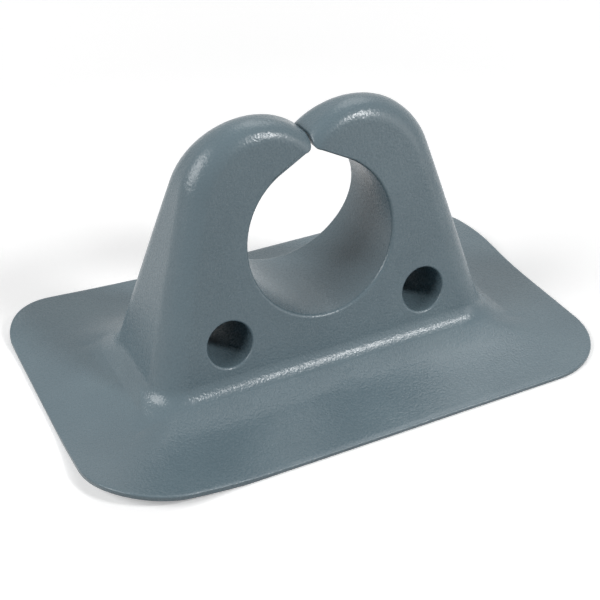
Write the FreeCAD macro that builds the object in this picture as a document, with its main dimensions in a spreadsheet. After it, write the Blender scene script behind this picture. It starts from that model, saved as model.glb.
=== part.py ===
"""Oar clip for an inflatable dinghy: one moulded piece of soft grey PVC.

Two rounded jaws close over a round seat for the oar shaft. They rise from a foot whose faces
all lean inwards. The foot spreads through a hollow cove, with a steeper toe at each end, and
a low skirt into a thin flange that is glued to the tube of the boat. Two round line holes run
through the foot.

X runs along the flange, Y along the oar shaft and Z up. The origin is the middle of the
underside. All lengths are millimetres and all angles degrees.
"""
import FreeCAD
import Part
import math
import os

import Sketcher

from FreeCAD import Vector

SIZES = [
    ("flange_length", 143.2, "flange along X"),
    ("flange_width", 93.0, "flange along Y"),
    ("front_corner", 20.5, "radius in plan of the flange's front corners"),
    ("back_corner", 15.0, "radius in plan of the flange's back corners"),
    ("flange_thickness", 1.3, "thickness of the thin flange"),
    ("crown_wall", 10.5, "thickness of the jaws from the top of the seat to their crown"),
    ("lobe_radius", 20.5, "outer radius of each jaw"),
    ("side_angle", 17.2, "lean of the two end faces from upright"),
    ("face_angle", 11.6, "lean of the front and back faces from upright"),
    ("axis_thickness", 22.9, "front to back at the height of the seat's axis"),
    ("seat_radius", 20.0, "radius of the oar seat"),
    ("axis_height", 38.0, "underside to the seat's axis"),
    ("jaw_gap", 0.6, "slit between the two jaw noses"),
    ("nose_thickness", 2.7, "height of a jaw's nose at the slit"),
    ("nose_slope", 27.0, "slope of the flat lead under each nose, from level"),
    ("hole_radius", 6.0, "radius of the line holes"),
    ("hole_spacing", 55.2, "between the axes of the line holes"),
    ("hole_height", 17.0, "underside to the axes of the line holes"),
    ("cove_radius", 6.0, "hollow where the foot meets the skirt"),
    ("toe_reach", 1.3, "how far the toe at each end stands out past the foot"),
    ("toe_height", 3.8, "height of the crease between toe and skirt"),
    ("toe_slope", 50.0, "slope of the toe at each end, from level"),
    ("end_slope", 22.0, "slope of the skirt under each toe, from level"),
    ("side_reach", 9.8, "how far the skirt spreads past the foot in front and behind"),
    ("side_slope", 24.0, "slope of the skirt in front and behind, from level"),
    ("skirt_corner", 9.5, "radius in plan of the skirt's corners"),
    ("skirt_height", 9.2, "height at which the skirt ends inside the foot"),
    ("foot_round", 9.0, "edge rounding at the bottom of the foot"),
    ("shoulder_round", 6.5, "edge rounding at the shoulder of a jaw"),
    ("crown_round", 6.0, "edge rounding at the crown of a jaw"),
    ("slit_round", 4.5, "edge rounding where the jaw's arc reaches the slit"),
    ("nose_round", 2.0, "rounding of a nose's own edges at the slit"),
    ("back_left_lift", 2.95, "how far the back left corner of the flange curls up"),
    ("front_left_lift", 4.1, "how far the front left corner of the flange curls up"),
    ("wave_lift", 2.1, "crest of the wave in the right edge of the flange"),
    ("back_curl_length", 54.0, "how far the back left curl runs along the back edge"),
    ("left_curl_length", 13.4, "how far the back left curl runs along the left edge"),
    ("front_curl_length", 33.0, "how far the front left curl runs along both edges"),
    ("wave_place", 21.3, "middle of the wave, along Y"),
    ("wave_half_length", 17.9, "from the crest of the wave to its flat ends"),
    ("wave_reach", 22.0, "how far the wave reaches in from the right edge"),
]

# Room that cutting shapes have past the faces that they cut.
SPARE = 5.0
# How far the flange's sheet starts below the plane that trims its underside flat.
SINK = 0.3
# Height at which the skirt starts inside the flange's sheet, as a share of its thickness.
SKIRT_START = 0.75
# Share of a corner's radius that its rounding takes off each side of its tip.
CORNER_CUT = 0.3
# Largest rounding of a nose's own edges, as a share of its thickness.
NOSE_LIMIT = 0.6
# How fast a curl dies away: one is a straight ramp, more is softer at the far end.
CURL_POWER = 1.5
# Pitch of the poles of the curled sheet.
POLE_PITCH = 7.0


class Sizes:
    """The driving dimensions as attributes, read from the sheet."""

    def __init__(self, sheet):
        for name, _, _ in SIZES:
            setattr(self, name, float(sheet.get(name)))


def make_sheet(doc):
    sheet = doc.addObject("Spreadsheet::Sheet", "sizes")
    for row, (name, value, note) in enumerate(SIZES, start=1):
        sheet.set(f"A{row}", name)
        sheet.set(f"B{row}", str(value))
        sheet.set(f"C{row}", note)
        sheet.setAlias(f"B{row}", name)
    doc.recompute()
    return sheet


def make_sketch(body, name, role):
    sketch = body.newObject("Sketcher::SketchObject", name)
    plane = next(item for item in body.Origin.OriginFeatures if item.Role == role)
    sketch.AttachmentSupport = [(plane, "")]
    sketch.MapMode = "FlatFace"
    return sketch


def dimension(sketch, name, expression, *constraint):
    """Add a dimension to a sketch and tie it to the sheet."""
    index = sketch.addConstraint(Sketcher.Constraint(*constraint))
    sketch.renameConstraint(index, name)
    sketch.setExpression(f"Constraints.{name}", expression)


def measure(sketch, name, *constraint):
    """Name a length that follows from the others, for other sketches to use."""
    index = sketch.addConstraint(Sketcher.Constraint(*constraint))
    sketch.setDriving(index, False)
    sketch.renameConstraint(index, name)


def relate(sketch, *constraints):
    for constraint in constraints:
        sketch.addConstraint(Sketcher.Constraint(*constraint))


def line(start, end):
    return Part.LineSegment(Vector(*start, 0), Vector(*end, 0))


def arc(centre, radius, start_angle, end_angle):
    circle = Part.Circle(Vector(*centre, 0), Vector(0, 0, 1), radius)
    return Part.ArcOfCircle(circle, math.radians(start_angle), math.radians(end_angle))


def polar(centre, radius, angle):
    """Point at an angle on a circle."""
    angle = math.radians(angle)
    return centre[0] + radius * math.cos(angle), centre[1] + radius * math.sin(angle)


class JawOutline:
    """Corners and centres of the right jaw's outline.

    Under its nose the jaw leaves the round seat along a flat lead, and the lobe over it is
    placed so that the nose has its thickness at the slit.
    """

    def __init__(self, size):
        half_gap = size.jaw_gap / 2
        slope = math.radians(size.nose_slope)
        lead_rise = size.seat_radius / math.cos(slope) - half_gap * math.tan(slope)
        self.crown = size.axis_height + size.seat_radius + size.crown_wall
        self.nose_bottom = (half_gap, size.axis_height + lead_rise)
        self.nose_top = (half_gap, self.nose_bottom[1] + size.nose_thickness)
        lobe_z = self.crown - size.lobe_radius
        rise = self.nose_top[1] - lobe_z
        self.lobe = (half_gap + math.sqrt(size.lobe_radius**2 - rise**2), lobe_z)
        self.nose_angle = 180 - math.degrees(math.asin(rise / size.lobe_radius))
        self.shoulder = polar(self.lobe, size.lobe_radius, size.side_angle)
        lean = math.tan(math.radians(size.side_angle))
        self.foot = (self.shoulder[0] + self.shoulder[1] * lean, 0)
        self.lead_start = polar((0, size.axis_height), size.seat_radius, 90 - size.nose_slope)


def draw_front_outline(sketch, size):
    """Right half of the jaws and foot seen from the front, with half of the oar seat.

    The arc over the jaw is in two parts that meet at its crown.
    """
    jaw = JawOutline(size)
    half_gap = size.jaw_gap / 2
    seat = (0, size.axis_height)
    seat_bottom = (0, size.axis_height - size.seat_radius)
    sketch.addGeometry(
        [
            line((0, 0), jaw.foot),
            line(jaw.foot, jaw.shoulder),
            arc(jaw.lobe, size.lobe_radius, size.side_angle, 90),
            arc(jaw.lobe, size.lobe_radius, 90, jaw.nose_angle),
            line(jaw.nose_top, jaw.nose_bottom),
            line(jaw.nose_bottom, jaw.lead_start),
            arc(seat, size.seat_radius, 270, 450 - size.nose_slope),
            line(seat_bottom, (0, 0)),
        ],
        False,
    )
    relate(
        sketch,
        ("Coincident", 0, 1, -1, 1),
        ("Coincident", 0, 2, 1, 1),
        ("Tangent", 1, 2, 2, 1),
        ("Coincident", 2, 2, 3, 1),
        ("Coincident", 2, 3, 3, 3),
        ("Vertical", 2, 2, 2, 3),
        ("Coincident", 3, 2, 4, 1),
        ("Coincident", 4, 2, 5, 1),
        ("Tangent", 5, 2, 6, 2),
        ("Coincident", 6, 1, 7, 1),
        ("Coincident", 7, 2, 0, 1),
        ("Horizontal", 0),
        ("Vertical", 4),
        ("Vertical", 7),
        ("PointOnObject", 6, 3, -2),
    )
    dimension(sketch, "lobe_radius", "sizes.lobe_radius", "Radius", 2, size.lobe_radius)
    dimension(
        sketch,
        "lobe_height",
        "sizes.axis_height + sizes.seat_radius + sizes.crown_wall - sizes.lobe_radius",
        "DistanceY", -1, 1, 2, 3, jaw.lobe[1],
    )
    dimension(
        sketch,
        "side_lean",
        "(90 + sizes.side_angle) * 1 deg",
        "Angle", 1, math.radians(90 + size.side_angle),
    )
    dimension(sketch, "half_gap", "sizes.jaw_gap / 2", "DistanceX", -1, 1, 4, 1, half_gap)
    dimension(
        sketch,
        "nose_thickness",
        "sizes.nose_thickness",
        "DistanceY", 4, 2, 4, 1, size.nose_thickness,
    )
    dimension(
        sketch,
        "nose_slope",
        "-sizes.nose_slope * 1 deg",
        "Angle", 5, -math.radians(size.nose_slope),
    )
    dimension(sketch, "seat_radius", "sizes.seat_radius", "Radius", 6, size.seat_radius)
    dimension(
        sketch, "axis_height", "sizes.axis_height", "DistanceY", -1, 1, 6, 3, size.axis_height
    )
    measure(sketch, "foot_half_length", "DistanceX", -1, 1, 0, 2, jaw.foot[0])


def draw_face_outline(sketch, size):
    """What the leaning back face leaves outside, seen from the end."""
    top_height = JawOutline(size).crown + SPARE
    top = (back_face_at(size, top_height), top_height)
    foot = (back_face_at(size, 0), 0)
    far = size.flange_width
    sketch.addGeometry(
        [
            line(foot, top),
            line(top, (far, top_height)),
            line((far, top_height), (far, 0)),
            line((far, 0), foot),
            Part.Point(Vector(size.axis_thickness / 2, size.axis_height, 0)),
        ],
        False,
    )
    sketch.toggleConstruction(4)
    relate(
        sketch,
        ("Coincident", 0, 2, 1, 1),
        ("Coincident", 1, 2, 2, 1),
        ("Coincident", 2, 2, 3, 1),
        ("Coincident", 3, 2, 0, 1),
        ("Horizontal", 1),
        ("Vertical", 2),
        ("Horizontal", 3),
        ("PointOnObject", 0, 1, -1),
        ("PointOnObject", 4, 1, 0),
    )
    dimension(
        sketch,
        "face_lean",
        "(90 + sizes.face_angle) * 1 deg",
        "Angle", 0, math.radians(90 + size.face_angle),
    )
    dimension(
        sketch,
        "half_thickness",
        "sizes.axis_thickness / 2",
        "DistanceX", -1, 1, 4, 1, size.axis_thickness / 2,
    )
    dimension(
        sketch, "axis_height", "sizes.axis_height", "DistanceY", -1, 1, 4, 1, size.axis_height
    )
    dimension(
        sketch,
        "top_height",
        f"sizes.axis_height + sizes.seat_radius + sizes.crown_wall + {SPARE}",
        "DistanceY", -1, 1, 1, 2, top_height,
    )
    dimension(sketch, "far_side", "sizes.flange_width", "DistanceX", -1, 1, 1, 2, far)
    measure(sketch, "foot_half_width", "DistanceX", -1, 1, 0, 1, foot[0])


def make_sharp_quarter(doc, size):
    """Back right quarter of the jaws and foot, with its outer edges still sharp."""
    body = doc.addObject("PartDesign::Body", "sharp_quarter")
    outline = make_sketch(body, "front_outline", "XZ_Plane")
    draw_front_outline(outline, size)
    pad = body.newObject("PartDesign::Pad", "quarter_block")
    pad.Profile = outline
    pad.Reversed = True
    pad.Refine = False
    pad.setExpression("Length", "sizes.flange_width / 2")
    doc.recompute()

    region = make_sketch(body, "face_outline", "YZ_Plane")
    draw_face_outline(region, size)
    pocket = body.newObject("PartDesign::Pocket", "back_lean")
    pocket.Profile = region
    pocket.SideType = "Symmetric"
    pocket.Refine = False
    pocket.setExpression("Length", "2 * sizes.flange_length")
    doc.recompute()
    return body


def nearest_edge(shape, point):
    """Number of the edge that runs closest to a point."""
    vertex = Part.Vertex(Vector(*point))
    distances = [edge.distToShape(vertex)[0] for edge in shape.Edges]
    return distances.index(min(distances)) + 1


def back_face_at(size, height):
    lean = math.tan(math.radians(size.face_angle))
    return size.axis_thickness / 2 - (height - size.axis_height) * lean


class SkirtOutline:
    """Half length and half width of the skirt at its start, toe and hidden top."""

    def __init__(self, size):
        end_run = 1 / math.tan(math.radians(size.end_slope))
        toe_run = 1 / math.tan(math.radians(size.toe_slope))
        side_run = 1 / math.tan(math.radians(size.side_slope))
        side_lean = math.tan(math.radians(size.face_angle))
        foot_width = back_face_at(size, 0)
        toe = JawOutline(size).foot[0] + size.toe_reach
        start = SKIRT_START * size.flange_thickness
        rise = size.skirt_height - size.toe_height
        width = foot_width + size.side_reach + size.flange_thickness * (side_run - side_lean)
        self.bottom = (toe + (size.toe_height - start) * end_run, width - start * side_run)
        self.toe = (toe, width - size.toe_height * side_run)
        self.top = (toe - rise * toe_run, width - size.skirt_height * side_run)
        self.meeting_height = (width - foot_width) / (side_run - side_lean)


def make_skirt_section(doc, size, name, height, spread, outline):
    """Quarter of the skirt in plan, at a height, with its spread past the toe."""
    a, b = outline
    corner = size.skirt_corner
    sketch = doc.addObject("Sketcher::SketchObject", name)
    sketch.addGeometry(
        [
            line((0, 0), (a, 0)),
            line((a, 0), (a, b - corner)),
            arc((a - corner, b - corner), corner, 0, 90),
            line((a - corner, b), (0, b)),
            line((0, b), (0, 0)),
        ],
        False,
    )
    relate(
        sketch,
        ("Coincident", 0, 1, -1, 1),
        ("Coincident", 0, 2, 1, 1),
        ("Tangent", 1, 2, 2, 1),
        ("Tangent", 2, 2, 3, 1),
        ("Coincident", 3, 2, 4, 1),
        ("Coincident", 4, 2, 0, 1),
        ("Horizontal", 0),
        ("Vertical", 1),
        ("Horizontal", 3),
        ("Vertical", 4),
    )
    side_run = "1 / tan(sizes.side_slope * 1 deg)"
    dimension(sketch, "corner", "sizes.skirt_corner", "Radius", 2, corner)
    dimension(
        sketch,
        "half_length",
        f"front_outline.Constraints.foot_half_length / 1 mm + sizes.toe_reach + {spread}",
        "DistanceX", 0, 1, 0, 2, a,
    )
    dimension(
        sketch,
        "half_width",
        "face_outline.Constraints.foot_half_width / 1 mm + sizes.side_reach"
        " - sizes.flange_thickness * tan(sizes.face_angle * 1 deg)"
        f" + (sizes.flange_thickness - {height}) * {side_run}",
        "DistanceY", 4, 2, 4, 1, b,
    )
    sketch.setExpression("Placement.Base.z", height)
    return sketch


def make_skirt(doc, size):
    outline = SkirtOutline(size)
    start = f"{SKIRT_START} * sizes.flange_thickness"
    height = "sizes.toe_height"
    top = "sizes.skirt_height"
    below = f"(sizes.toe_height - {start}) / tan(sizes.end_slope * 1 deg)"
    above = "(sizes.toe_height - sizes.skirt_height) / tan(sizes.toe_slope * 1 deg)"
    skirt = doc.addObject("Part::Loft", "skirt")
    skirt.Sections = [
        make_skirt_section(doc, size, "skirt_bottom", start, below, outline.bottom),
        make_skirt_section(doc, size, "skirt_toe", height, "0", outline.toe),
        make_skirt_section(doc, size, "skirt_top", top, above, outline.top),
    ]
    skirt.Solid = True
    skirt.Ruled = True
    doc.recompute()
    return skirt


def round_outer_edge(doc, size, body):
    """Round the quarter's outer edge from the foot over the jaw to the slit.

    The rounding is largest at the foot and shrinks on the way to the slit.
    """
    jaw = JawOutline(size)
    side = ((jaw.foot[0] + jaw.shoulder[0]) / 2, jaw.shoulder[1] / 2)
    outer_half = polar(jaw.lobe, size.lobe_radius, (size.side_angle + 90) / 2)
    inner_half = polar(jaw.lobe, size.lobe_radius, (90 + jaw.nose_angle) / 2)
    radii = [
        (side, size.foot_round, size.shoulder_round),
        (outer_half, size.shoulder_round, size.crown_round),
        (inner_half, size.crown_round, size.slit_round),
    ]
    rounded = doc.addObject("Part::Fillet", "outer_rounding")
    rounded.Base = body
    rounded.Edges = [
        (nearest_edge(body.Shape, (x, back_face_at(size, z), z)), start, end)
        for (x, z), start, end in radii
    ]
    doc.recompute()
    return rounded


def make_quarter(doc, size):
    """Back right quarter: the rounded jaw on its skirt, with the cove and the nose rounded."""
    jaw = JawOutline(size)
    footed = doc.addObject("Part::MultiFuse", "footed_quarter")
    footed.Shapes = [
        round_outer_edge(doc, size, make_sharp_quarter(doc, size)),
        make_skirt(doc, size),
    ]
    footed.Refine = False
    doc.recompute()
    meeting_height = SkirtOutline(size).meeting_height
    meeting = (jaw.foot[0] / 3, back_face_at(size, meeting_height), meeting_height)
    nose_x, nose_z = jaw.nose_bottom
    underside = (nose_x, back_face_at(size, nose_z) / 2, nose_z)
    nose_round = min(size.nose_round, NOSE_LIMIT * size.nose_thickness)
    quarter = doc.addObject("Part::Fillet", "rounded_quarter")
    quarter.Base = footed
    quarter.Edges = [
        (nearest_edge(footed.Shape, meeting), size.cove_radius, size.cove_radius),
        (nearest_edge(footed.Shape, underside), nose_round, nose_round),
    ]
    doc.recompute()
    return quarter


def make_block(doc, size):
    """The four quarters joined: jaws, foot and skirt with the oar seat between them."""
    quarter = make_quarter(doc, size)
    front = doc.addObject("Part::Mirroring", "front_quarter")
    front.Source = quarter
    front.Normal = Vector(0, 1, 0)
    right = doc.addObject("Part::MultiFuse", "right_half")
    right.Shapes = [quarter, front]
    right.Refine = True
    left = doc.addObject("Part::Mirroring", "left_half")
    left.Source = right
    left.Normal = Vector(1, 0, 0)
    block = doc.addObject("Part::MultiFuse", "block")
    block.Shapes = [right, left]
    block.Refine = True
    doc.recompute()
    return block


def ramp(distance, reach):
    """One at no distance, easing to zero at the reach."""
    return max(0.0, min(1.0, 1 - distance / reach)) ** CURL_POWER


def flange_lift(size, x, y):
    """How far the flange has curled up from the flat at a place in plan."""
    from_left = size.flange_length / 2 + x
    from_right = size.flange_length / 2 - x
    from_front = size.flange_width / 2 + y
    from_back = size.flange_width / 2 - y
    front_tip = CORNER_CUT * size.front_corner
    back_tip = CORNER_CUT * size.back_corner
    front_left = size.front_left_lift * ramp(from_left - front_tip, size.front_curl_length)
    front_left *= ramp(from_front - front_tip, size.front_curl_length)
    back_left = size.back_left_lift * ramp(from_left - back_tip, size.back_curl_length)
    back_left *= ramp(from_back - back_tip, size.left_curl_length)
    offset = min(1.0, abs(y - size.wave_place) / size.wave_half_length)
    wave = size.wave_lift * math.cos(offset * math.pi / 2) ** 2
    wave *= ramp(from_right, size.wave_reach)
    return front_left + back_left + wave


def pole_places(half_span):
    """Places of a row of poles that give an evenly paced cubic curve over the span."""
    count = round(2 * half_span / POLE_PITCH)
    pieces = count - 3
    knots = [0] * 3 + list(range(pieces + 1)) + [pieces] * 3
    places = [sum(knots[i + 1:i + 4]) / 3 / pieces for i in range(count)]
    return [(2 * place - 1) * half_span for place in places]


def make_flange(doc, size):
    """The thin flange: a cubic surface lifted at its curled corners and wavy edge."""
    rows = pole_places(size.flange_length / 2 + SPARE)
    columns = pole_places(size.flange_width / 2 + SPARE)
    poles = [[Vector(x, y, flange_lift(size, x, y) - SINK) for y in columns] for x in rows]
    surface = Part.BSplineSurface()
    surface.buildFromPolesMultsKnots(
        poles,
        [4] + [1] * (len(rows) - 4) + [4],
        [4] + [1] * (len(columns) - 4) + [4],
        list(range(len(rows) - 2)),
        list(range(len(columns) - 2)),
        False,
        False,
        3,
        3,
    )
    sheet = surface.toShape().extrude(Vector(0, 0, size.flange_thickness + SINK))
    curled = doc.addObject("Part::Feature", "curled_sheet")
    curled.Shape = sheet
    body = doc.addObject("PartDesign::Body", "flange_plan")
    plan = make_sketch(body, "plan_outline", "XY_Plane")
    draw_plan(plan, size)
    pad = body.newObject("PartDesign::Pad", "plan_block")
    pad.Profile = plan
    pad.setExpression("Length", "sizes.axis_height")
    flange = doc.addObject("Part::Common", "flange")
    flange.Base = curled
    flange.Tool = body
    doc.recompute()
    return flange


def draw_plan(sketch, size):
    """Outline of the flange in plan: a rectangle with rounded corners."""
    a = size.flange_length / 2
    b = size.flange_width / 2
    front = size.front_corner
    back = size.back_corner
    sketch.addGeometry(
        [
            line((front - a, -b), (a - front, -b)),
            arc((a - front, front - b), front, 270, 360),
            line((a, front - b), (a, b - back)),
            arc((a - back, b - back), back, 0, 90),
            line((a - back, b), (back - a, b)),
            arc((back - a, b - back), back, 90, 180),
            line((-a, b - back), (-a, front - b)),
            arc((front - a, front - b), front, 180, 270),
        ],
        False,
    )
    relate(
        sketch,
        ("Tangent", 0, 2, 1, 1),
        ("Tangent", 1, 2, 2, 1),
        ("Tangent", 2, 2, 3, 1),
        ("Tangent", 3, 2, 4, 1),
        ("Tangent", 4, 2, 5, 1),
        ("Tangent", 5, 2, 6, 1),
        ("Tangent", 6, 2, 7, 1),
        ("Tangent", 7, 2, 0, 1),
        ("Horizontal", 0),
        ("Vertical", 2),
        ("Horizontal", 4),
        ("Vertical", 6),
        ("Equal", 1, 7),
        ("Equal", 3, 5),
    )
    dimension(sketch, "front_corner", "sizes.front_corner", "Radius", 1, front)
    dimension(sketch, "back_corner", "sizes.back_corner", "Radius", 3, back)
    dimension(
        sketch, "flange_right", "sizes.flange_length / 2", "DistanceX", -1, 1, 2, 1, a
    )
    dimension(sketch, "flange_left", "sizes.flange_length / 2", "DistanceX", 6, 1, -1, 1, a)
    dimension(sketch, "flange_back", "sizes.flange_width / 2", "DistanceY", -1, 1, 4, 1, b)
    dimension(sketch, "flange_front", "sizes.flange_width / 2", "DistanceY", 0, 1, -1, 1, b)


def make_line_holes(doc):
    holes = []
    for side, sign in (("left", -1), ("right", 1)):
        hole = doc.addObject("Part::Cylinder", f"{side}_line_hole")
        hole.Placement = FreeCAD.Placement(Vector(), FreeCAD.Rotation(Vector(1, 0, 0), 90))
        hole.setExpression("Radius", "sizes.hole_radius")
        hole.setExpression("Height", "sizes.flange_width")
        hole.setExpression("Placement.Base.x", f"{sign} * sizes.hole_spacing / 2")
        hole.setExpression("Placement.Base.y", "sizes.flange_width / 2")
        hole.setExpression("Placement.Base.z", "sizes.hole_height")
        holes.append(hole)
    cutters = doc.addObject("Part::MultiFuse", "line_holes")
    cutters.Shapes = holes
    doc.recompute()
    return cutters


def check(doc, clip):
    """Stop if any object failed to build or the clip isn't one valid solid."""
    for item in doc.Objects:
        if "Invalid" in item.State or "Error" in item.State:
            raise RuntimeError(f"{item.Label} did not build")
    if clip.Shape.isNull() or not clip.Shape.isValid():
        raise RuntimeError(f"{clip.Label} is not a valid shape")
    if len(clip.Shape.Solids) != 1:
        raise RuntimeError(f"{clip.Label} is not one solid")


def main():
    doc = FreeCAD.newDocument("oar_clip")
    size = Sizes(make_sheet(doc))
    whole = doc.addObject("Part::MultiFuse", "block_and_flange")
    whole.Shapes = [make_block(doc, size), make_flange(doc, size)]
    whole.Refine = True
    clip = doc.addObject("Part::Cut", "oar_clip")
    clip.Base = whole
    clip.Tool = make_line_holes(doc)
    clip.Refine = True
    doc.recompute()
    check(doc, clip)
    os.makedirs("parts", exist_ok=True)
    clip.Shape.exportStep(f"parts/{clip.Label}.step")


main()
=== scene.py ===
"""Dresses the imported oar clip: one soft PVC moulding on a pale studio floor."""

import math

import bmesh
import bpy
from bpy.props import FloatProperty, FloatVectorProperty, PointerProperty, StringProperty
from mathutils import Matrix, Vector


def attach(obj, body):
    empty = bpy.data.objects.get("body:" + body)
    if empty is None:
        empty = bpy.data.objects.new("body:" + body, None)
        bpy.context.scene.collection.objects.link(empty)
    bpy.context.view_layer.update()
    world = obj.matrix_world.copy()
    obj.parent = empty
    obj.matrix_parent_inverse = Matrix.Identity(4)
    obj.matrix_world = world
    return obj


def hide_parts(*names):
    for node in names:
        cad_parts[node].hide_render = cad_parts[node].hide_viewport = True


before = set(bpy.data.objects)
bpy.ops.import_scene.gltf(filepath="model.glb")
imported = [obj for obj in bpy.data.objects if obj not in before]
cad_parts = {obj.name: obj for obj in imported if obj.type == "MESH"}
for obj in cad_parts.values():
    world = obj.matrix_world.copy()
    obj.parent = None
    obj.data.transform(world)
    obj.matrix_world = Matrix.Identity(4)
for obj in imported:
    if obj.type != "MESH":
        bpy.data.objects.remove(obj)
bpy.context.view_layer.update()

bl_info = {
    "name": "Oar clip",
    "version": (1, 0, 0),
    "blender": (4, 5, 0),
    "location": "3D View > Sidebar > Oar clip",
    "description": "Finishes a moulded oar clip and sets it on a studio floor",
    "category": "Object",
}

# Lengths are in metres, and a rise is the upward share of a face's normal.
MM = 0.001
NODE = "oar_clip"
WHITE = "#FFFFFF"

# The loaded triangles are joined at their corners, and flat upright faces are made whole.
MERGE_DISTANCE = 0.001 * MM
UPRIGHT_RISE = 0.5
FLAT_TURN = math.radians(0.2)

# A rim is an edge that turns more than this. The flange's lie below its top, and the seat's
# within its half width.
SHARP_TURN = math.radians(40)
FLANGE_TOP = 0.008
SEAT_HALF_WIDTH = 0.0205
RIM_SEGMENTS = 3
ROUND_PROFILE = 0.5
# On the jaws' noses the seat's rounding shrinks towards the slit, over this length and down
# to this share of its width.
NOSE_BOTTOM = 0.05
NOSE_LENGTH = 0.008
NOSE_SHARE = 0.3

# The gently sloping top of skirt and flange. Beyond the toes' start it may be steeper and
# lie a little higher.
SHEET_RISE = 0.85
SHEET_TOP = 0.0052
TOE_START = 0.0465
TOE_RISE = 0.55
TOE_TOP = 0.0062
# The grid that cuts it reaches this far along and across the clip.
SHEET_REACH = (0.075, 0.05)
CUT_DISTANCE = 0.01 * MM
# It is smoothed for many rounds outside the foot's outline, and for a few all over.
SMOOTH_FACTOR = 0.5
EASE_ROUNDS = 220
FOOT_ROUNDS = 2
FOOT_HALF_LENGTH = 0.0545
FOOT_HALF_WIDTH = 0.0205

PVC_IOR = 1.53
ROUGHNESS_SPREAD = 0.08
GRAIN_DETAIL = 1.0
PATCH_DETAIL = 3.0
# Where on the patches' noise the dark, main and light grey lie.
PATCH_PLACES = (0.3, 0.55, 0.8)

FLOOR_HALF_WIDTH = 2.4
PAPER_ROUGHNESS = 0.9
# The floor's glow rises to full white between these distances from the clip.
GLOW_START = 0.2
GLOW_END = 1.2

CLIP_MIDDLE = Vector((0.0, 0.0, 0.03))
LAMP_DISTANCE = 0.9
# Each lamp's name, degrees to the right of straight in front, degrees over the floor, width
# and the setting that holds its power.
LAMPS = (
    ("key_lamp", 33, 38, 0.16, "key_power"),
    ("low_lamp", 45, 12, 0.5, "low_power"),
    ("left_lamp", -90, 36, 0.5, "left_power"),
    ("back_lamp", 135, 60, 0.5, "back_power"),
)

SENSOR_WIDTH_MM = 36.0
NEAREST_VIEW = 0.01
FARTHEST_VIEW = 20.0


def linear(hex_colour):
    """Linear red, green, blue and alpha of an sRGB hex colour."""
    levels = [int(hex_colour[i : i + 2], 16) / 255 for i in (1, 3, 5)]
    return [
        level / 12.92 if level <= 0.04045 else ((level + 0.055) / 1.055) ** 2.4
        for level in levels
    ] + [1.0]


def add_node(tree, kind, inputs=None, **settings):
    """Add a shader node with its settings; an input is a value or another node's socket."""
    node = tree.nodes.new(kind)
    for name, value in settings.items():
        setattr(node, name, value)
    for name, value in (inputs or {}).items():
        if isinstance(value, bpy.types.NodeSocket):
            tree.links.new(value, node.inputs[name])
        else:
            node.inputs[name].default_value = value
    return node


def new_material(name):
    """An empty node material and its output node."""
    material = bpy.data.materials.new(name)
    material.use_nodes = True
    material.node_tree.nodes.clear()
    return material, material.node_tree.nodes.new("ShaderNodeOutputMaterial")


def add_ramp(tree, factor, stops):
    """A colour ramp with one hex colour at each place."""
    ramp = add_node(tree, "ShaderNodeValToRGB", {"Fac": factor})
    elements = ramp.color_ramp.elements
    for place, _ in stops[1:-1]:
        elements.new(place)
    for element, (place, colour) in zip(elements, stops):
        element.position = place
        element.color = linear(colour)
    return ramp.outputs["Color"]


def noise(tree, place, size_mm, detail):
    """Noise whose blobs are about the given size."""
    inputs = {"Vector": place, "Scale": 1 / (size_mm * MM), "Detail": detail}
    return add_node(tree, "ShaderNodeTexNoise", inputs).outputs["Fac"]


def in_view(tree):
    """One for what the camera sees, straight, mirrored or through glass, and otherwise zero."""
    path = add_node(tree, "ShaderNodeLightPath")
    seen = path.outputs["Is Camera Ray"]
    for way in ("Is Glossy Ray", "Is Transmission Ray"):
        seen = add_node(
            tree, "ShaderNodeMath", {0: seen, 1: path.outputs[way]}, operation="MAXIMUM"
        ).outputs["Value"]
    return seen


def show_apart(tree, output, unseen, seen):
    """Give the output one shader where it only throws light and another where it is seen."""
    inputs = {0: in_view(tree), 1: unseen.outputs[0], 2: seen.outputs[0]}
    both = add_node(tree, "ShaderNodeMixShader", inputs)
    tree.links.new(both.outputs[0], output.inputs["Surface"])


def new_object(scene, name, data):
    """An object with its data, linked to the scene."""
    thing = bpy.data.objects.new(name, data)
    scene.collection.objects.link(thing)
    return thing


def mesh_object(scene, name, shape, material):
    """An object made from a shape, which is freed."""
    mesh = bpy.data.meshes.new(name)
    shape.to_mesh(mesh)
    shape.free()
    mesh.materials.append(material)
    return new_object(scene, name, mesh)


def merged_copy(node):
    """The node's shape with its loose triangles joined and its upright flat faces made whole."""
    shape = bmesh.new()
    shape.from_mesh(node.data)
    bmesh.ops.remove_doubles(shape, verts=shape.verts, dist=MERGE_DISTANCE)
    upright = [
        edge
        for edge in shape.edges
        if all(abs(face.normal.z) < UPRIGHT_RISE for face in edge.link_faces)
    ]
    bmesh.ops.dissolve_limit(
        shape, angle_limit=FLAT_TURN, verts=[], edges=upright, delimit=set()
    )
    return shape


def edge_middle(edge):
    """Middle of an edge."""
    return (edge.verts[0].co + edge.verts[1].co) / 2


def sort_rims(shape):
    """The rims of the flange, of the line holes and of the seat."""
    flange, holes, seat = [], [], []
    for edge in shape.edges:
        if len(edge.link_faces) != 2 or edge.calc_face_angle() <= SHARP_TURN:
            continue
        middle = edge_middle(edge)
        if middle.z < FLANGE_TOP:
            flange.append(edge)
        elif abs(middle.x) > SEAT_HALF_WIDTH:
            holes.append(edge)
        else:
            seat.append(edge)
    return flange, holes, seat


def weigh_seat_rims(seat, weights):
    """Let the seat's rounding shrink towards the slit on the noses of the jaws."""
    for edge in seat:
        middle = edge_middle(edge)
        share = min(abs(middle.x) / NOSE_LENGTH, 1.0) if middle.z > NOSE_BOTTOM else 1.0
        edge[weights] = NOSE_SHARE + (1 - NOSE_SHARE) * share


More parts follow.
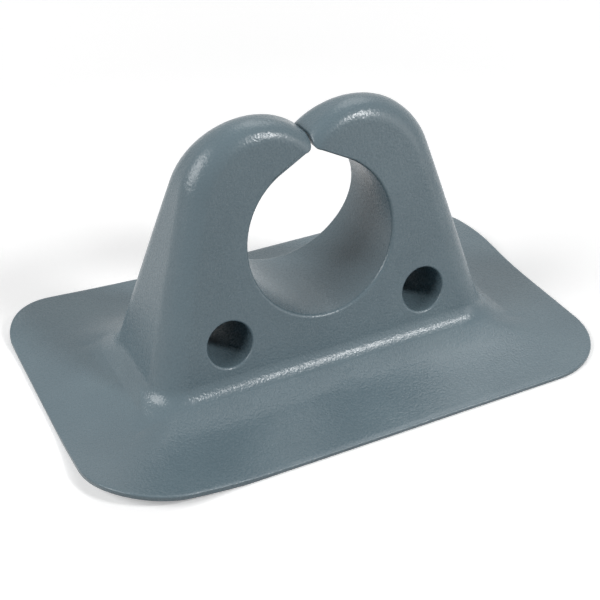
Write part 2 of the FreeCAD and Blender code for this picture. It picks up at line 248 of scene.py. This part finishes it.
def soften(shape, edges, radius_mm):
    """Round edges as a mould does, and return the faces of the roundings."""
    return bmesh.ops.bevel(
        shape,
        geom=edges,
        offset=radius_mm * MM,
        offset_type="OFFSET",
        segments=RIM_SEGMENTS,
        profile=ROUND_PROFILE,
        affect="EDGES",
        clamp_overlap=False,
        loop_slide=True,
        material=-1,
    )["faces"]


def on_sheet(face):
    """Whether a face belongs to the gently sloping top of skirt and flange."""
    middle = face.calc_center_median()
    if abs(middle.x) > TOE_START:
        return face.normal.z > TOE_RISE and middle.z < TOE_TOP
    return face.normal.z > SHEET_RISE and middle.z < SHEET_TOP


def cut_grid(shape, sheet, step):
    """Cut the sheet's faces along and across the clip, and return all faces of the sheet."""
    for axis, reach in enumerate(SHEET_REACH):
        for count in range(-int(reach / step), int(reach / step) + 1):
            place = Vector((0, 0, 0))
            place[axis] = count * step
            across = Vector((0, 0, 0))
            across[axis] = 1
            edges = {edge for face in sheet for edge in face.edges}
            verts = {vert for face in sheet for vert in face.verts}
            cut = bmesh.ops.bisect_plane(
                shape,
                geom=list(sheet) + list(edges) + list(verts),
                dist=CUT_DISTANCE,
                plane_co=place,
                plane_no=across,
            )
            sheet = {part for part in cut["geom"] if isinstance(part, bmesh.types.BMFace)}
    return sheet


def ease_sheet(shape, rounded, pitch_mm):
    """Let the skirt run out softly into the flange.

    The top of both is cut into a fine grid and smoothed, all but its border. The foot's own
    outline stays crisper.
    """
    sheet = {face for face in shape.faces if on_sheet(face)} - set(rounded)
    sheet = cut_grid(shape, sheet, pitch_mm * MM)
    inner = [
        vert
        for vert in {vert for face in sheet for vert in face.verts}
        if all(face in sheet for face in vert.link_faces)
    ]
    outer = [
        vert
        for vert in inner
        if abs(vert.co.x) > FOOT_HALF_LENGTH or abs(vert.co.y) > FOOT_HALF_WIDTH
    ]
    for rounds, verts in ((EASE_ROUNDS, outer), (FOOT_ROUNDS, inner)):
        for _ in range(rounds):
            bmesh.ops.smooth_vert(
                shape,
                verts=verts,
                factor=SMOOTH_FACTOR,
                use_axis_x=True,
                use_axis_y=True,
                use_axis_z=True,
            )


def soft_pvc(settings):
    """Flexible PVC, injection moulded in a spark-eroded tool.

    The tool leaves a fine even grain, so light spreads in a broad soft sheen with a sparkle
    of tiny bright dots where it is brightest.
    """
    material, output = new_material("soft_pvc_moulded_grey")
    tree = material.node_tree
    place = add_node(tree, "ShaderNodeTexCoord").outputs["Object"]
    patches = noise(tree, place, settings.patch_size, PATCH_DETAIL)
    grain = noise(tree, place, settings.grain_size, GRAIN_DETAIL)
    greys = (settings.dark_grey, settings.grey, settings.light_grey)
    colour = add_ramp(tree, patches, tuple(zip(PATCH_PLACES, greys)))
    rough = add_node(
        tree,
        "ShaderNodeMapRange",
        {
            "Value": grain,
            "To Min": settings.roughness - ROUGHNESS_SPREAD,
            "To Max": settings.roughness + ROUGHNESS_SPREAD,
        },
    )
    pits = add_node(
        tree,
        "ShaderNodeBump",
        {"Height": grain, "Strength": 1.0, "Distance": settings.grain_depth * MM},
    )
    shader = add_node(
        tree,
        "ShaderNodeBsdfPrincipled",
        {
            "Base Color": colour,
            "Roughness": rough.outputs["Result"],
            "IOR": PVC_IOR,
            "Normal": pits.outputs["Normal"],
        },
    )
    tree.links.new(shader.outputs["BSDF"], output.inputs["Surface"])
    return material


class ClipSettings(bpy.types.PropertyGroup):
    """Sizes and colours of the moulding's finish."""

    seat_rim: FloatProperty(
        name="Seat rim",
        description="Rounding of the oar seat's rims in millimetres",
        default=0.8,
        min=0.1,
        max=1.2,
    )
    hole_rim: FloatProperty(
        name="Hole rim",
        description="Rounding of the line holes' rims in millimetres",
        default=0.6,
        min=0.1,
        max=1.2,
    )
    flange_rim: FloatProperty(
        name="Flange rim",
        description="Rounding of the flange's edges in millimetres",
        default=0.45,
        min=0.1,
        max=0.6,
    )
    sheet_pitch: FloatProperty(
        name="Sheet pitch",
        description="Pitch of the grid that eases the skirt into the flange in millimetres",
        default=2.0,
        min=1.0,
        max=5.0,
    )
    grey: StringProperty(name="Grey", description="Main colour of the PVC", default="#697C85")
    dark_grey: StringProperty(
        name="Dark grey", description="Darkest patches of the PVC", default="#647780"
    )
    light_grey: StringProperty(
        name="Light grey", description="Lightest patches of the PVC", default="#6F828A"
    )
    roughness: FloatProperty(
        name="Roughness",
        description="Roughness of the moulded grain",
        default=0.28,
        min=0.1,
        max=1.0,
        subtype="FACTOR",
    )
    grain_size: FloatProperty(
        name="Grain size",
        description="Width of the tool's spark-eroded grain in millimetres",
        default=0.6,
        min=0.1,
        max=3.0,
    )
    grain_depth: FloatProperty(
        name="Grain depth",
        description="Depth of the grain in millimetres",
        default=0.08,
        min=0.0,
        max=0.5,
    )
    patch_size: FloatProperty(
        name="Patch size",
        description="Width of the faint patches of colour in millimetres",
        default=22.0,
        min=2.0,
        max=100.0,
    )


class OARCLIP_OT_mould_clip(bpy.types.Operator):
    """Mould the clip from the node's shape, soften its rims and give it its soft PVC"""

    bl_idname = "oarclip.mould_clip"
    bl_label = "Mould the clip"

    def execute(self, context):
        settings = context.scene.oarclip_finish
        shape = merged_copy(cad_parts[NODE])
        # A layer added later would invalidate the edges that are sorted here.
        weights = shape.edges.layers.float.new("bevel_weight_edge")
        flange, holes, seat = sort_rims(shape)
        if not (flange and holes and seat):
            raise RuntimeError("the clip lacks the rims of its flange, line holes or seat")
        weigh_seat_rims(seat, weights)
        rounded = soften(shape, flange, settings.flange_rim)
        soften(shape, holes, settings.hole_rim)
        ease_sheet(shape, [face for face in rounded if face.is_valid], settings.sheet_pitch)
        clip = mesh_object(context.scene, "clip_moulding", shape, soft_pvc(settings))
        clip.data.shade_smooth()
        rim = clip.modifiers.new("seat_rim", "BEVEL")
        rim.width = settings.seat_rim * MM
        rim.segments = RIM_SEGMENTS
        rim.limit_method = "WEIGHT"
        rim.use_clamp_overlap = False
        clip.modifiers.new("even_shading", "WEIGHTED_NORMAL").mode = "FACE_AREA"
        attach(clip, "root")
        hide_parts(NODE)
        return {"FINISHED"}


class StageSettings(bpy.types.PropertyGroup):
    """Floor, lamps and camera."""

    floor: StringProperty(
        name="Floor", description="Colour of the floor where it is seen", default=WHITE
    )
    floor_bounce: StringProperty(
        name="Floor bounce",
        description="Colour of the floor for the light that it throws back",
        default="#5C5E60",
    )
    floor_glow: FloatProperty(
        name="Floor glow",
        description="Share of white that the floor shows near the clip without any lamp",
        default=0.3,
        min=0.0,
        max=1.0,
        subtype="FACTOR",
    )
    key_power: FloatProperty(
        name="Key power",
        description="Power of the small lamp in front on the right",
        default=3.4,
        min=0.0,
        unit="POWER",
    )
    low_power: FloatProperty(
        name="Low power",
        description="Power of the low lamp in front on the right",
        default=1.1,
        min=0.0,
        unit="POWER",
    )
    left_power: FloatProperty(
        name="Left power",
        description="Power of the broad lamp on the left",
        default=4.9,
        min=0.0,
        unit="POWER",
    )
    back_power: FloatProperty(
        name="Back power",
        description="Power of the high lamp behind on the right",
        default=1.6,
        min=0.0,
        unit="POWER",
    )
    sky: FloatProperty(
        name="Sky", description="Strength of the even light of the room", default=0.02, min=0.0
    )
    lens: FloatProperty(
        name="Lens",
        description="Focal length of the camera",
        default=71.98,
        min=1.0,
        unit="CAMERA",
    )
    camera_place: FloatVectorProperty(
        name="Camera place",
        description="Where the camera stands",
        default=(-0.118589, -0.237847, 0.189835),
        subtype="TRANSLATION",
        unit="LENGTH",
    )
    camera_turn: FloatProperty(
        name="Camera turn",
        description="How far the camera is turned to the right of straight back",
        default=math.radians(26.368),
        subtype="ANGLE",
    )
    camera_dip: FloatProperty(
        name="Camera dip",
        description="How far the camera looks down",
        default=math.radians(33.683),
        subtype="ANGLE",
    )
    camera_roll: FloatProperty(
        name="Camera roll",
        description="How far the camera is rolled about its own line of sight",
        default=math.radians(-0.333),
        subtype="ANGLE",
    )


def studio_paper(settings):
    """Matt studio paper, pale where it is seen and darker for the light that it throws back.

    It glows more with the distance, so it is seen white where the lamps hardly reach.
    """
    material, output = new_material("studio_paper_matt")
    tree = material.node_tree
    place = add_node(tree, "ShaderNodeTexCoord").outputs["Object"]
    distance = add_node(tree, "ShaderNodeVectorMath", {0: place}, operation="LENGTH")
    glow = add_node(
        tree,
        "ShaderNodeMapRange",
        {
            "Value": distance.outputs["Value"],
            "From Min": GLOW_START,
            "From Max": GLOW_END,
            "To Min": settings.floor_glow,
            "To Max": 1.0,
        },
    )
    bounce = add_node(
        tree,
        "ShaderNodeBsdfPrincipled",
        {"Base Color": linear(settings.floor_bounce), "Roughness": PAPER_ROUGHNESS},
    )
    shown = add_node(
        tree,
        "ShaderNodeBsdfPrincipled",
        {
            "Base Color": linear(settings.floor),
            "Roughness": PAPER_ROUGHNESS,
            "Emission Color": linear(settings.floor),
            "Emission Strength": glow.outputs["Result"],
        },
    )
    show_apart(tree, output, bounce, shown)
    return material


def lay_floor(scene, settings):
    """The studio floor under the clip."""
    sheet = bmesh.new()
    bmesh.ops.create_grid(sheet, x_segments=1, y_segments=1, size=FLOOR_HALF_WIDTH)
    floor = mesh_object(scene, "studio_floor", sheet, studio_paper(settings))


def hang_lamp(scene, name, turn, rise, width, power):
    """A square soft lamp that faces the clip.

    It hangs at an angle to the right of straight in front, and at an angle over the floor.
    """
    lamp = bpy.data.lights.new(name, "AREA")
    lamp.shape = "SQUARE"
    lamp.size = width
    lamp.energy = power
    turn, rise = math.radians(turn), math.radians(rise)
    level = math.cos(rise)
    away = Vector((math.sin(turn) * level, -math.cos(turn) * level, math.sin(rise)))
    facing = away.to_track_quat("Z", "Y").to_matrix().to_4x4()
    hanging = new_object(scene, name, lamp)
    hanging.matrix_world = Matrix.Translation(CLIP_MIDDLE + away * LAMP_DISTANCE) @ facing


def light_room(scene, settings):
    """Faint even light, and white where the room is seen."""
    world = bpy.data.worlds.new("studio_room")
    world.use_nodes = True
    tree = world.node_tree
    tree.nodes.clear()
    output = tree.nodes.new("ShaderNodeOutputWorld")
    room, white = (
        add_node(tree, "ShaderNodeBackground", {"Color": linear(WHITE), "Strength": strength})
        for strength in (settings.sky, 1.0)
    )
    show_apart(tree, output, room, white)
    scene.world = world
    scene.view_settings.view_transform = "Standard"


def place_camera(scene, settings):
    """The camera to the left in front of the clip, looking down at it."""
    lens = bpy.data.cameras.new("camera")
    lens.sensor_width = SENSOR_WIDTH_MM
    lens.lens = settings.lens
    lens.clip_start = NEAREST_VIEW
    lens.clip_end = FARTHEST_VIEW
    scene.camera = new_object(scene, "camera", lens)
    scene.camera.matrix_world = (
        Matrix.Translation(Vector(settings.camera_place))
        @ Matrix.Rotation(-settings.camera_turn, 4, "Z")
        @ Matrix.Rotation(math.pi / 2 - settings.camera_dip, 4, "X")
        @ Matrix.Rotation(settings.camera_roll, 4, "Z")
    )


class OARCLIP_OT_set_stage(bpy.types.Operator):
    """Lay the studio floor, hang the soft lamps, light the room and place the camera"""

    bl_idname = "oarclip.set_stage"
    bl_label = "Set the stage"

    def execute(self, context):
        scene = context.scene
        settings = scene.oarclip_stage
        lay_floor(scene, settings)
        for name, turn, rise, width, power in LAMPS:
            hang_lamp(scene, name, turn, rise, width, getattr(settings, power))
        light_room(scene, settings)
        place_camera(scene, settings)
        return {"FINISHED"}


class OARCLIP_PT_sidebar(bpy.types.Panel):
    """The clip's settings and operators"""

    bl_label = "Oar clip"
    bl_idname = "OARCLIP_PT_sidebar"
    bl_space_type = "VIEW_3D"
    bl_region_type = "UI"
    bl_category = "Oar clip"

    def draw(self, context):
        for group in (context.scene.oarclip_finish, context.scene.oarclip_stage):
            box = self.layout.box()
            for name in group.__annotations__:
                box.prop(group, name)
        for operator in OPERATORS:
            self.layout.operator(operator.bl_idname)


OPERATORS = (OARCLIP_OT_mould_clip, OARCLIP_OT_set_stage)
CLASSES = (ClipSettings, StageSettings) + OPERATORS + (OARCLIP_PT_sidebar,)


def register():
    for kind in CLASSES:
        bpy.utils.register_class(kind)
    bpy.types.Scene.oarclip_finish = PointerProperty(type=ClipSettings)
    bpy.types.Scene.oarclip_stage = PointerProperty(type=StageSettings)


def unregister():
    del bpy.types.Scene.oarclip_stage
    del bpy.types.Scene.oarclip_finish
    for kind in reversed(CLASSES):
        bpy.utils.unregister_class(kind)


def main():
    register()
    bpy.ops.oarclip.mould_clip()
    bpy.ops.oarclip.set_stage()


if __name__ == "__main__":
    main()
